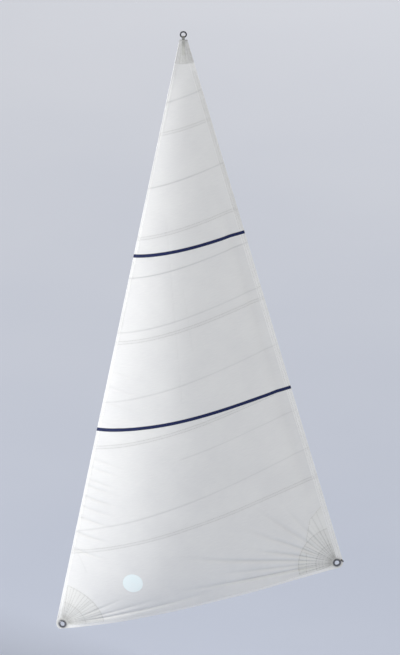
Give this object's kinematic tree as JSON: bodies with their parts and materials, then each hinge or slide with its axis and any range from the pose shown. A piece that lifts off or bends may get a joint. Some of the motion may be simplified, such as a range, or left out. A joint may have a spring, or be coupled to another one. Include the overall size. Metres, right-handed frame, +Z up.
{
  "type": "jib sail",
  "caption": "Triangular crosscut headsail with navy draft stripes, radial corner patches, folded edge tapes, pressed tack and clew rings and a swinging round head ring.",
  "frame": {"origin": "centre of the pressed tack ring, in the middle of the cloth", "axes": "+Z up as the sail hangs, +X aft from luff to leech along the deck, -Y to the side that the belly stands out to; the chord plane is upright in XZ and the luff leans 11 degrees aft"},
  "size_m": [2.5803, 0.3237, 5.8405],
  "materials": {
    "sailcloth": "tightly woven white polyester sailcloth, resin finished, matt",
    "patch_cloth": "heavier white polyester sailcloth in stitched layers",
    "tape_cloth": "folded white polyester tape with zigzag stitching",
    "stripe_cloth": "navy adhesive ripstop stripe",
    "badge_film": "smooth white adhesive sailcloth",
    "webbing": "woven white polyester webbing",
    "cordage": "laid polyester line",
    "stainless": "weathered stainless steel",
    "eyelet_brass": "dull brass"
  },
  "bodies": {
    "sail": {"blank_badge": "badge_film", "clew_cover_patch": "patch_cloth", "clew_patch_back_1": "patch_cloth", "clew_patch_back_2": "patch_cloth", "clew_patch_front_1": "patch_cloth", "clew_patch_front_2": "patch_cloth", "clew_ring_back": "stainless", "clew_ring_front": "stainless", "clew_ring_liner": "stainless", "foot_tape": "tape_cloth", "head_patch_back_1": "patch_cloth", "head_patch_back_2": "patch_cloth", "head_patch_front_1": "patch_cloth", "head_patch_front_2": "patch_cloth", "head_strap": "webbing", "leech_line": "cordage", "leech_line_eyelet": "eyelet_brass", "leech_tape": "tape_cloth", "lower_stripe_back": "stripe_cloth", "lower_stripe_front": "stripe_cloth", "luff_rope": "cordage", "luff_tape": "tape_cloth", "panel_1": "sailcloth", "panel_2": "sailcloth", "panel_3": "sailcloth", "panel_4": "sailcloth", "panel_5": "sailcloth", "panel_6": "sailcloth", "tack_patch_back_1": "patch_cloth", "tack_patch_back_2": "patch_cloth", "tack_patch_front_1": "patch_cloth", "tack_patch_front_2": "patch_cloth", "tack_ring_back": "stainless", "tack_ring_front": "stainless", "tack_ring_liner": "stainless", "upper_stripe_back": "stripe_cloth", "upper_stripe_front": "stripe_cloth"},
    "head_ring": {"head_ring": "stainless"}
  },
  "joints": [
    {"name": "head_ring_swing", "type": "hinge", "parent": "sail", "child": "head_ring", "pos_m": [1.08756, 0.01863, 5.72561], "axis": [0.9998, 0.0199, 0], "range_deg": [-100, 100]}
  ]
}
